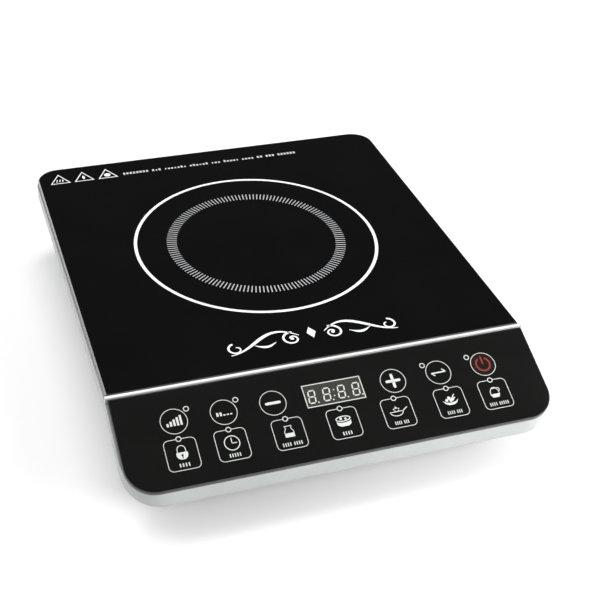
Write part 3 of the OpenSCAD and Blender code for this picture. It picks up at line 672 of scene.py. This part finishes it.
# plain blocks stand for the words under each symbol: letters in each word, and the line's width
CAPTIONS = (((4,), 7.4), ((5,), 8.0), ((4, 4), 13.5), ((4,), 7.0), ((4, 3), 10.0), ((4, 3), 10.8),
            ((4, 5), 14.0))
CAPTION_GAP = 0.7
words = Print(on_panel)
for cx, (counts, width) in zip(SQUARES, CAPTIONS):
    step = width / (sum(counts) + CAPTION_GAP * (len(counts) - 1))
    x = cx - width / 2
    for count in counts:
        for k in range(count):
            words.box(x + step / 2, ROW2 - 7.1, step * 0.46, 2.4)
            x += step
        x += CAPTION_GAP * step
words.build("word_blocks", INK_PALE)

UNDER_INK = 0.008  # raised less than the lines that are printed over it
power_glow = Print(on_panel, lift=UNDER_INK)
power_glow.fill(disc(POWER_X, ROW1, 7.6, 40))
power_glow.build("power_disc", INK_RED_DIM)
power = Print(on_panel)
power.stroke(arc(POWER_X, ROW1, 4.8, 118, 422, 40), 1.2)
power.pill(POWER_X, ROW1 + 0.6, POWER_X, ROW1 + 5.8, 1.1)
power.build("power_symbol", INK_RED)

window = Print(on_panel, lift=UNDER_INK)
window.fill(frame_corners(0.2))
window.build("display_window", DISPLAY_TINT)


def digit(shape, cx, cy, w, h, lean=0.12, gap=0.5, width=0.85):
    """Seven unlit segments, leaning a little to the right."""
    def p(x, y):
        return (cx + x + y * lean, cy + y)
    a, b = w / 2, h / 2
    for y in (-b, 0, b):
        x0, x1 = p(-a + gap, y), p(a - gap, y)
        shape.stroke([x0, x1], width)
    for sx in (-a, a):
        for lo, hi in ((-b, 0), (0, b)):
            shape.stroke([p(sx, lo + gap), p(sx, hi - gap)], width)


DIGIT_Y = -25.1
segments = Print(on_panel)
for cx in (-15.6, -5.5, 4.6, 14.6):
    digit(segments, cx, DIGIT_Y, 4.3, 8.8)
    segments.fill(disc(cx + 3.4, DIGIT_Y - 4.5, 0.55, 10))
for dy in (-1.9, 2.3):
    segments.fill(disc(-0.45 + dy * 0.12, DIGIT_Y + dy, 0.5, 10))
segments.build("display_segments", SEGMENT)

# ---------------------------------------------------------------- blank rating plate underneath

SEAT_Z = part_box("lower_housing")[0].z / MM + 0.4  # the seat is 0.4 mm deep in the tray's floor
PLATE_Y, PLATE_W, PLATE_H, PLATE_T = -86, 78.6, 46.6, 0.22


def under_tray(x, y, h):
    """Point on the rating plate's seat: h is measured down from it."""
    return Vector((x * MM, y * MM, (SEAT_Z - h) * MM))


def under_plate(x, y, h):
    """Point on the plate's face, with x running the way it reads from below."""
    return under_tray(-x, y, h + PLATE_T)


plate = Print(under_tray, lift=PLATE_T, base=0.01)
plate.fill(rounded(0, PLATE_Y, PLATE_W, PLATE_H, 2.0)[1:])
plate.build("rating_plate", SLOTS["aluminium"])
ROW_START, ROW_TOP, ROW_STEP = -33.0, -71.5, 6.6
rows = Print(under_plate, lift=0.03, base=0.002)
for k, width in enumerate((30, 52, 46, 58, 38)):
    x = ROW_START
    while x < ROW_START + width:
        wide = RNG.choice((1.4, 2.2, 3.6))
        rows.box(x + wide / 2, ROW_TOP - ROW_STEP * k, wide, 2.0)
        x += wide + 0.9
rows.box(27, -96, 9, 9).box(27, -74, 12, 3)
rows.build("rating_blocks", SLOTS["chip_black"])

# ---------------------------------------------------------------- studio

LIGHTS = {  # place, target, size and power
    "back_top": ((-0.4, 0.7, 1.9), (0, 0.1, 0), (2.4, 0.5), 38),
    "left_box": ((-1.8, -0.3, 1.2), (0, 0, 0), (2.2, 1.8), 19),
    "front_box": ((0.0, -2.1, 1.4), (0, 0, 0), (3.0, 1.4), 10),
    "right_box": ((1.9, 0.3, 1.3), (0, 0, 0), (2.0, 1.8), 20),
    "key_light": ((0.66, -0.66, 0.34), (0.12, -0.15, 0.03), (0.45, 0.4), 12.5),
    "rim_light": ((-1.3, 1.65, 0.36), (-0.1, 0, 0.05), (1.4, 0.6), 10),
}
FLOOR_R, SWEEP_R, WALL_TOP = 3.0, 1.2, 1.7  # flat part of the floor, its sweep and the rim's height
FLOOR_DROP = 0.0002  # below the feet


def area(name, place, target, size, energy):
    light = bpy.data.lights.new(name, "AREA")
    light.shape, light.size, light.size_y = "RECTANGLE", size[0], size[1]
    light.energy = energy
    obj = bpy.data.objects.new(name, light)
    obj.location = place
    obj.rotation_euler = (Vector(target) - Vector(place)).to_track_quat("-Z", "Y").to_euler()
    bpy.context.scene.collection.objects.link(obj)


def studio_floor(turns=72, sweep_steps=12):
    """Round pale floor that sweeps up to a low wall all round."""
    angles = [math.pi / 2 * i / sweep_steps for i in range(1, sweep_steps + 1)]
    profile = [(0.01, 0), (FLOOR_R, 0)]
    profile += [(FLOOR_R + SWEEP_R * math.sin(t), SWEEP_R - SWEEP_R * math.cos(t)) for t in angles]
    profile += [(FLOOR_R + SWEEP_R, WALL_TOP)]
    n = len(profile)
    verts = [(r * math.cos(math.tau * k / turns), r * math.sin(math.tau * k / turns), z)
             for k in range(turns) for r, z in profile]
    faces = [[k * n + i, k * n + i + 1, (k + 1) % turns * n + i + 1, (k + 1) % turns * n + i]
             for k in range(turns) for i in range(n - 1)]
    faces.append([k * n for k in range(turns)])
    mesh = bpy.data.meshes.new("floor")
    mesh.from_pydata(verts, [], faces)
    mesh.shade_smooth()
    m = Nodes("floor_paper")
    m.colour(m.ramp(m.noise(0.004, 2), [(0.3, grey(0.88)), (0.7, grey(0.9))]))
    mesh.materials.append(m.set(Roughness=0.9, Specular_IOR_Level=0.1).mat)
    floor = bpy.data.objects.new("floor", mesh)
    floor.location.z = -FLOOR_DROP
    bpy.context.scene.collection.objects.link(floor)


def studio():
    studio_floor()
    for name, setting in LIGHTS.items():
        area(name, *setting)
    world = bpy.data.worlds.new("studio")
    world.use_nodes = True
    world.node_tree.nodes["Background"].inputs["Color"].default_value = grey(1.0)
    world.node_tree.nodes["Background"].inputs["Strength"].default_value = 0.05
    bpy.context.scene.world = world


CAMERA_PLACE = (-0.23629, -0.68088, 0.55235)
CAMERA_TURN = (56.0442, -1.9592, -17.8062)  # degrees
CAMERA_LENS = 70.327
CAMERA_SHIFT = (0.05882, -0.07516)  # as far as the framing sets the object off centre


def camera():
    data = bpy.data.cameras.new("camera")
    data.sensor_width = 36.0
    data.lens = CAMERA_LENS
    data.shift_x, data.shift_y = CAMERA_SHIFT
    data.clip_start, data.clip_end = 0.01, 50
    obj = bpy.data.objects.new("camera", data)
    obj.location = CAMERA_PLACE
    obj.rotation_euler = Euler([math.radians(v) for v in CAMERA_TURN], "XYZ")
    bpy.context.scene.collection.objects.link(obj)
    bpy.context.scene.camera = obj


studio()
camera()
bpy.context.scene.view_settings.view_transform = "Standard"
bpy.context.scene.view_settings.look = "None"
